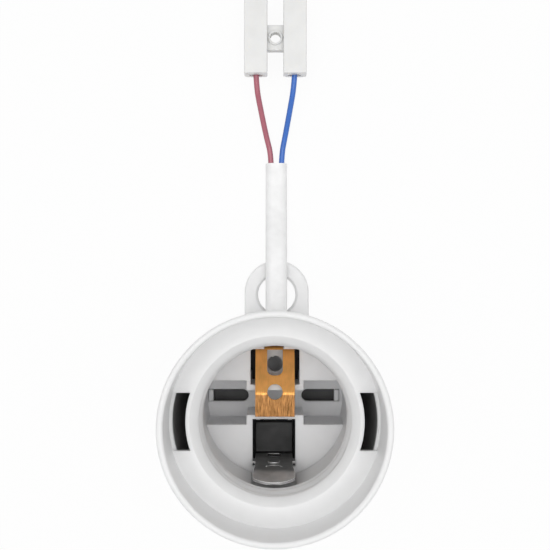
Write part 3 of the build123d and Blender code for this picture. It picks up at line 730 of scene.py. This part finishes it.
def pressed_arch(radius, proud):
    """The raised lower edge of a round dimple, an arch that fades into the sheet."""
    shape = bmesh.new()
    bmesh.ops.create_circle(shape, segments=16, radius=proud, cap_ends=True)
    upright = Matrix.Rotation(math.pi / 2, 3, "X")
    bmesh.ops.rotate(shape, matrix=upright, verts=shape.verts)
    bmesh.ops.translate(shape, vec=(radius, 0.0, 0.0), verts=shape.verts)
    bmesh.ops.rotate(shape, matrix=Matrix.Rotation(ARCH_END, 3, "Z"), verts=shape.verts)
    bmesh.ops.spin(
        shape, geom=shape.faces[:], axis=(0.0, 0.0, 1.0), angle=ARCH_SWEEP, steps=28,
    )
    bmesh.ops.recalc_face_normals(shape, faces=shape.faces)
    return shape


def lead_curve(name, points, half_height, half_flat=0.0):
    """A smooth cord along points in millimetres, round or with a flat middle."""
    data = bpy.data.curves.new(name, "CURVE")
    data.dimensions = "3D"
    data.twist_mode = "Z_UP"
    data.bevel_depth = half_height
    data.extrude = half_flat
    data.bevel_resolution = 6
    data.resolution_u = 12
    data.use_fill_caps = True
    spline = data.splines.new("NURBS")
    spline.points.add(len(points) - 1)
    for at, point in zip(spline.points, points):
        at.co = (*(value * MM for value in point), 1.0)
        if half_flat:
            at.tilt = math.pi / 2
    spline.order_u = 3
    spline.use_endpoint_u = True
    cord = bpy.data.objects.new(name, data)
    bpy.context.scene.collection.objects.link(cord)
    return cord


class LAMPHOLDER_OT_mouldings(bpy.types.Operator):
    """Finish the white body and cap and the greyer contact carrier"""

    bl_idname = "lampholder.mouldings"
    bl_label = "Mouldings"

    def execute(self, context):
        sizes, colours = context.scene.holder_sizes, context.scene.holder_colours
        edge = sizes.edge_round
        # Painted shade on the insides of the white body and of the cap
        white = moulded_plastic(
            "white moulding", colours.body, edge,
            painted_shade_in_shell, BODY_PAINTED_SHADE, BODY_PAINTED_SHADE_LEVEL,
        )
        cap = moulded_plastic(
            "white cap", colours.body, edge, painted_shade_in_shell, CAP_PAINTED_SHADE, CAP_PAINTED_SHADE_LEVEL,
        )
        # Painted shade on the carrier behind the leaf's arm
        grey = moulded_plastic(
            "carrier moulding", colours.carrier, edge,
            painted_shade_behind_leaf, LEAF_BACK_SHADE, LEAF_BACK_SHADE_LEVEL,
        )
        coat(white, "socket_body")
        coat(cap, "rear_cap", "cord_clamp")
        coat(grey, "contact_carrier")
        body = new_piece(
            "threaded_body", threaded_body(sizes), white, "holder",
        )
        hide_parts("socket_body")
        return {"FINISHED"}


class LAMPHOLDER_OT_contacts(bpy.types.Operator):
    """Finish the copper strip, the side leaf and what is crimped to them"""

    bl_idname = "lampholder.contacts"
    bl_label = "Contacts"

    def execute(self, context):
        colours = context.scene.holder_colours
        edge = context.scene.holder_sizes.edge_round / 2
        copper = rolled_strip("rolled copper alloy", colours.copper, edge)
        steel = spring_steel("dark spring steel", colours.leaf, edge)
        sleeve = plated_metal("plated sleeve", colours.steel, edge)
        strands = plated_metal("bare copper wire", colours.strands, edge)
        coat(copper, "centre_contact")
        coat(steel, "side_contact")
        coat(sleeve, "live_crimp", "neutral_crimp")
        coat(
            strands, "live_contact_strands", "neutral_contact_strands",
            "live_terminal_strands", "neutral_terminal_strands",
        )
        catch = pressed_catch(CATCH_WIDTH, CATCH_HEIGHT, CATCH_PROUD)
        catch = on_arm(catch, CATCH_RISE)
        new_piece("leaf_catch", catch, steel, "side_leaf")
        arch = on_arm(pressed_arch(ARCH_RADIUS, ARCH_PROUD), ARCH_RISE)
        new_piece("leaf_arch", arch, steel, "side_leaf")
        return {"FINISHED"}


class LAMPHOLDER_OT_lead(bpy.types.Operator):
    """Lay the flat sheath and the two cores that leave it for the terminal block"""

    bl_idname = "lampholder.lead"
    bl_label = "Lead"

    def execute(self, context):
        sizes, colours = context.scene.holder_sizes, context.scene.holder_colours
        flat = (sizes.sheath_width - sizes.sheath_height) / 2
        route = [(SHEATH_X, y, z) for y, z in SHEATH_ROUTE]
        sheath = lead_curve("lead_sheath", route, sizes.sheath_height / 2, flat)
        cover = extruded_cover("white sheath", colours.sheath, SHEATH_ROUGHNESS)
        sheath.data.materials.append(cover)
        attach(sheath, "holder")
        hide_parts("cable_sheath")
        cores = (
            (
                "live_core", LIVE_ROUTE, colours.live, "brown_red_core",
                "live_insulation", 0.0605,
            ),
            (
                "neutral_core", NEUTRAL_ROUTE, colours.neutral, "blue_core",
                "neutral_insulation", 0.073,
            ),
        )
        for name, points, colour, slot, node, length in cores:
            core = lead_curve(name, points, sizes.core_diameter / 2)
            finish = name.replace("_", " ") + " cover"
            core.data.materials.append(extruded_cover(finish, colour, CORE_ROUGHNESS))
            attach(core, "holder")
            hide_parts(node)
        return {"FINISHED"}


class LAMPHOLDER_OT_terminal_block(bpy.types.Operator):
    """Finish the terminal block, its clamp tubes and its screws"""

    bl_idname = "lampholder.terminal_block"
    bl_label = "Terminal block"

    def execute(self, context):
        colours = context.scene.holder_colours
        edge = context.scene.holder_sizes.edge_round
        wax = waxy_plastic("waxy block plastic", colours.block, edge)
        brass = plated_metal("turned brass", colours.brass, edge / 2)
        screw = plated_metal("plated screw", colours.steel, edge / 2)
        coat(wax, "terminal_block")
        coat(brass, "live_clamp_tube", "neutral_clamp_tube")
        coat(
            screw, "live_lead_screw", "neutral_lead_screw",
            "live_supply_screw", "neutral_supply_screw",
        )
        return {"FINISHED"}


class LAMPHOLDER_OT_stage(bpy.types.Operator):
    """Add the white floor, the soft lamps and the camera above the mouth"""

    bl_idname = "lampholder.stage"
    bl_label = "Stage"

    def execute(self, context):
        settings = context.scene.stage_settings
        self.add_floor(settings)
        self.add_world(context.scene, settings)
        for side, place in LAMP_PLACES.items():
            self.add_lamp(side + "_lamp", place, getattr(settings, side + "_power"))
        self.add_camera(context.scene, settings)
        return {"FINISHED"}

    def add_floor(self, settings):
        """A wide white sheet that shows plain white to the camera, with the shadow."""
        sheet = bmesh.new()
        bmesh.ops.create_grid(sheet, x_segments=4, y_segments=4, size=FLOOR_REACH)
        mesh = bpy.data.meshes.new("floor")
        sheet.to_mesh(mesh)
        sheet.free()
        mesh.transform(Matrix.Translation((0, 0, -FLOOR_DROP)))
        floor = bpy.data.objects.new("floor", mesh)
        bpy.context.scene.collection.objects.link(floor)
        made, tree, shader = new_material("white floor", FLOOR_COLOUR, FLOOR_ROUGHNESS)
        shader.inputs["Specular IOR Level"].default_value = FLOOR_GLOSS
        share = worked(tree, "MULTIPLY", self.seen_directly(tree), settings.floor_white)
        glow = tree.nodes.new("ShaderNodeEmission")
        mixed = tree.nodes.new("ShaderNodeMixShader")
        parts = (share, shader.outputs[0], glow.outputs[0])
        for socket, value in zip(mixed.inputs, parts):
            tree.links.new(value, socket)
        output = tree.nodes["Material Output"]
        tree.links.new(mixed.outputs[0], output.inputs["Surface"])
        mesh.materials.append(made)

    def seen_directly(self, tree):
        """1 for what the camera, a gloss or a clear piece shows."""
        path = tree.nodes.new("ShaderNodeLightPath")
        seen = path.outputs["Is Camera Ray"]
        for name in ("Is Glossy Ray", "Is Transmission Ray"):
            seen = worked(tree, "MAXIMUM", seen, path.outputs[name])
        return seen

    def add_world(self, scene, settings):
        """Even white light, which the camera sees as plain white."""
        world = bpy.data.worlds.new("white surroundings")
        world.use_nodes = True
        tree = world.node_tree
        background = tree.nodes["Background"]
        background.inputs["Color"].default_value = (1.0, 1.0, 1.0, 1.0)
        level = chosen(tree, self.seen_directly(tree), settings.sky_level, 1.0)
        tree.links.new(level, background.inputs["Strength"])
        scene.world = world

    def add_lamp(self, name, place, power):
        """A square soft lamp that faces the holder."""
        data = bpy.data.lights.new(name, "AREA")
        data.size = LAMP_SIZE
        data.energy = power
        lamp = bpy.data.objects.new(name, data)
        lamp.location = place
        aim = LAMP_AIM - Vector(place)
        lamp.rotation_euler = aim.to_track_quat("-Z", "Y").to_euler()
        bpy.context.scene.collection.objects.link(lamp)

    def add_camera(self, scene, settings):
        """The camera looks straight down, for a square picture."""
        data = bpy.data.cameras.new("camera")
        data.sensor_width = SENSOR_WIDTH
        data.lens = settings.focal_length
        data.shift_y = PICTURE_SHIFT / PICTURE_SIDE
        data.clip_start, data.clip_end = NEAR_CLIP, FAR_CLIP
        camera = bpy.data.objects.new("camera", data)
        camera.location = (0.0, settings.camera_forward, settings.camera_height)
        scene.collection.objects.link(camera)
        scene.camera = camera
        scene.view_settings.view_transform = "Standard"


class LAMPHOLDER_PT_panel(bpy.types.Panel):
    """Lists the settings and the pieces"""

    bl_idname = "LAMPHOLDER_PT_panel"
    bl_label = "Lamp holder"
    bl_space_type = "VIEW_3D"
    bl_region_type = "UI"
    bl_category = "Lamp holder"

    def draw(self, context):
        layout, scene = self.layout, context.scene
        for group in (scene.holder_sizes, scene.holder_colours, scene.stage_settings):
            box = layout.box()
            for name in group.__annotations__:
                box.prop(group, name)
        for operator in OPERATORS:
            layout.operator(operator.bl_idname)


OPERATORS = (
    LAMPHOLDER_OT_mouldings,
    LAMPHOLDER_OT_contacts,
    LAMPHOLDER_OT_lead,
    LAMPHOLDER_OT_terminal_block,
    LAMPHOLDER_OT_stage,
)
CLASSES = (HolderSizes, HolderColours, StageSettings, *OPERATORS, LAMPHOLDER_PT_panel)


def register():
    for cls in CLASSES:
        bpy.utils.register_class(cls)
    bpy.types.Scene.holder_sizes = PointerProperty(type=HolderSizes)
    bpy.types.Scene.holder_colours = PointerProperty(type=HolderColours)
    bpy.types.Scene.stage_settings = PointerProperty(type=StageSettings)


def unregister():
    del bpy.types.Scene.stage_settings
    del bpy.types.Scene.holder_colours
    del bpy.types.Scene.holder_sizes
    for cls in reversed(CLASSES):
        bpy.utils.unregister_class(cls)


def main():
    """Build the looks in order."""
    register()
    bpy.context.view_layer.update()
    bpy.ops.lampholder.mouldings()
    bpy.ops.lampholder.contacts()
    bpy.ops.lampholder.lead()
    bpy.ops.lampholder.terminal_block()
    bpy.ops.lampholder.stage()


if __name__ == "__main__":
    main()
